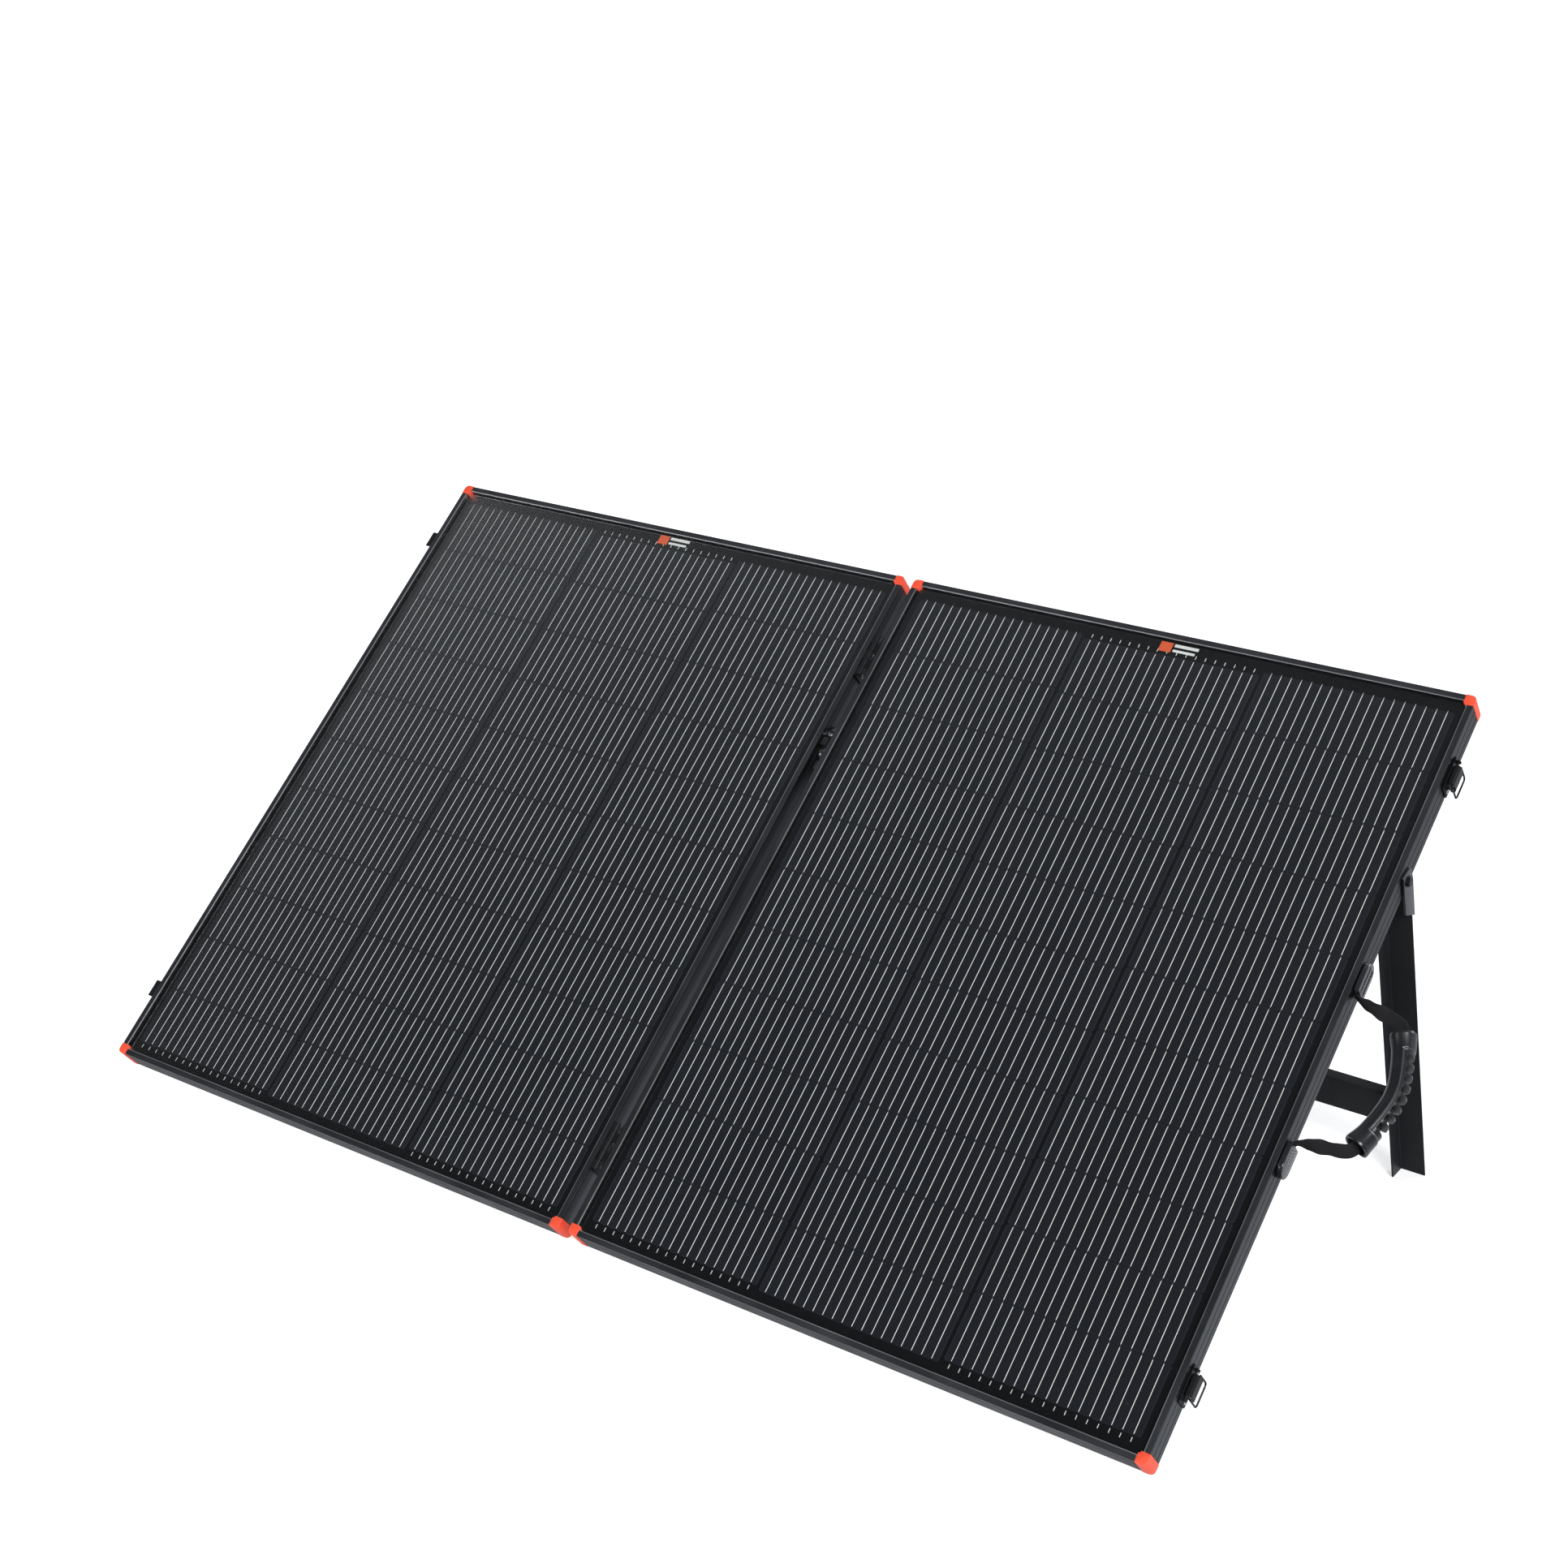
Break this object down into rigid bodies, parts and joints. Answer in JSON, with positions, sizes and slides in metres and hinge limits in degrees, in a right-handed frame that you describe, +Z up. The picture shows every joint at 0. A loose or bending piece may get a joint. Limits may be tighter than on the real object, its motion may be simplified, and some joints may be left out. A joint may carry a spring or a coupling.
{
  "type": "folding solar panel",
  "caption": "Two framed solar panels hinged like a suitcase, with carrying handle, toggle latches and fold-out rear legs.",
  "frame": {"origin": "centre of the object's box at ground level", "axes": "+Z up, +X across both panels towards the handle, the glass faces -Y and up"},
  "size_m": [1.2522, 0.5818, 0.4828],
  "materials": {
    "frame": "dark grey anodised, satin",
    "corner": "moulded, satin",
    "glass": "tempered, clear",
    "cells": "dark cells on a black backsheet",
    "black_steel": "black, satin",
    "leg": "dark grey powder coat",
    "plate": "grey, satin",
    "zinc": "bright",
    "moulded": "fine grain",
    "jacket": "smooth, a little glossy",
    "webbing": "woven polyester"
  },
  "bodies": {
    "left_panel": {"left_frame_bottom_rail": "frame", "left_frame_top_rail": "frame", "left_frame_outer_rail": "frame", "left_frame_inner_rail": "frame", "left_bottom_outer_corner_cap": "corner", "left_bottom_inner_corner_cap": "corner", "left_top_outer_corner_cap": "corner", "left_top_inner_corner_cap": "corner", "left_front_glass": "glass", "left_cell_laminate": "cells", "left_junction_box": "moulded", "left_junction_box_lid": "moulded", "left_cable_outlet": "moulded", "left_panel_cable": "jacket", "left_stand_outer_pivot_bolt": "zinc", "left_stand_inner_pivot_bolt": "zinc", "lower_hinge_left_leaf": "black_steel", "upper_hinge_left_leaf": "black_steel", "hinge_cable_loop": "jacket", "lower_latch_strike": "black_steel", "upper_latch_strike": "black_steel"},
    "right_panel": {"right_frame_bottom_rail": "frame", "right_frame_top_rail": "frame", "right_frame_outer_rail": "frame", "right_frame_inner_rail": "frame", "right_bottom_outer_corner_cap": "corner", "right_bottom_inner_corner_cap": "corner", "right_top_outer_corner_cap": "corner", "right_top_inner_corner_cap": "corner", "right_front_glass": "glass", "right_cell_laminate": "cells", "right_junction_box": "moulded", "right_junction_box_lid": "moulded", "right_cable_outlet": "moulded", "right_panel_cable": "jacket", "right_stand_outer_pivot_bolt": "zinc", "right_stand_inner_pivot_bolt": "zinc", "lower_hinge_right_leaf": "black_steel", "upper_hinge_right_leaf": "black_steel", "lower_latch_base": "black_steel", "upper_latch_base": "black_steel", "handle_lower_anchor": "moulded", "handle_upper_anchor": "moulded"},
    "left_stand": {"left_stand_outer_leg": "leg", "left_stand_inner_leg": "leg", "left_stand_crossbar": "leg", "left_stand_outer_pivot_plate": "plate", "left_stand_inner_pivot_plate": "plate"},
    "right_stand": {"right_stand_outer_leg": "leg", "right_stand_inner_leg": "leg", "right_stand_crossbar": "leg", "right_stand_outer_pivot_plate": "plate", "right_stand_inner_pivot_plate": "plate"},
    "handle": {"handle_strap": "webbing", "handle_grip": "moulded"},
    "lower_lever": {"lower_latch_lever": "black_steel"},
    "upper_lever": {"upper_latch_lever": "black_steel"},
    "lower_bail": {"lower_latch_bail": "zinc"},
    "upper_bail": {"upper_latch_bail": "zinc"}
  },
  "joints": [
    {"name": "fold_hinge", "type": "hinge", "parent": "left_panel", "child": "right_panel", "pos_m": [-0.03185, -0.29075, 0.02037], "axis": [0, -0.7738, -0.6334], "range_deg": [0, 180]},
    {"name": "left_stand_fold", "type": "hinge", "parent": "left_panel", "child": "left_stand", "pos_m": [-0.32785, 0.1439, 0.35532], "axis": [-1, 0, 0], "range_deg": [0, 69.2]},
    {"name": "right_stand_fold", "type": "hinge", "parent": "right_panel", "child": "right_stand", "pos_m": [0.26415, 0.1439, 0.35532], "axis": [-1, 0, 0], "range_deg": [0, 69.2]},
    {"name": "handle_swing", "type": "hinge", "parent": "right_panel", "child": "handle", "pos_m": [0.55745, -0.00232, 0.23952], "axis": [0, 0.7738, 0.6334], "range_deg": [-84, 60]},
    {"name": "lower_lever_turn", "type": "hinge", "parent": "right_panel", "child": "lower_lever", "pos_m": [0.55835, -0.22626, 0.0592], "axis": [0, 0.7738, 0.6334], "range_deg": [-110, 0]},
    {"name": "lower_bail_swing", "type": "hinge", "parent": "lower_lever", "child": "lower_bail", "pos_m": [0.56075, -0.22404, 0.05649], "axis": [0, -0.7738, -0.6334], "range_deg": [0, 180]},
    {"name": "upper_lever_turn", "type": "hinge", "parent": "right_panel", "child": "upper_lever", "pos_m": [0.55835, 0.22334, 0.4272], "axis": [0, 0.7738, 0.6334], "range_deg": [-110, 0]},
    {"name": "upper_bail_swing", "type": "hinge", "parent": "upper_lever", "child": "upper_bail", "pos_m": [0.56075, 0.22556, 0.42449], "axis": [0, -0.7738, -0.6334], "range_deg": [0, 180]}
  ]
}
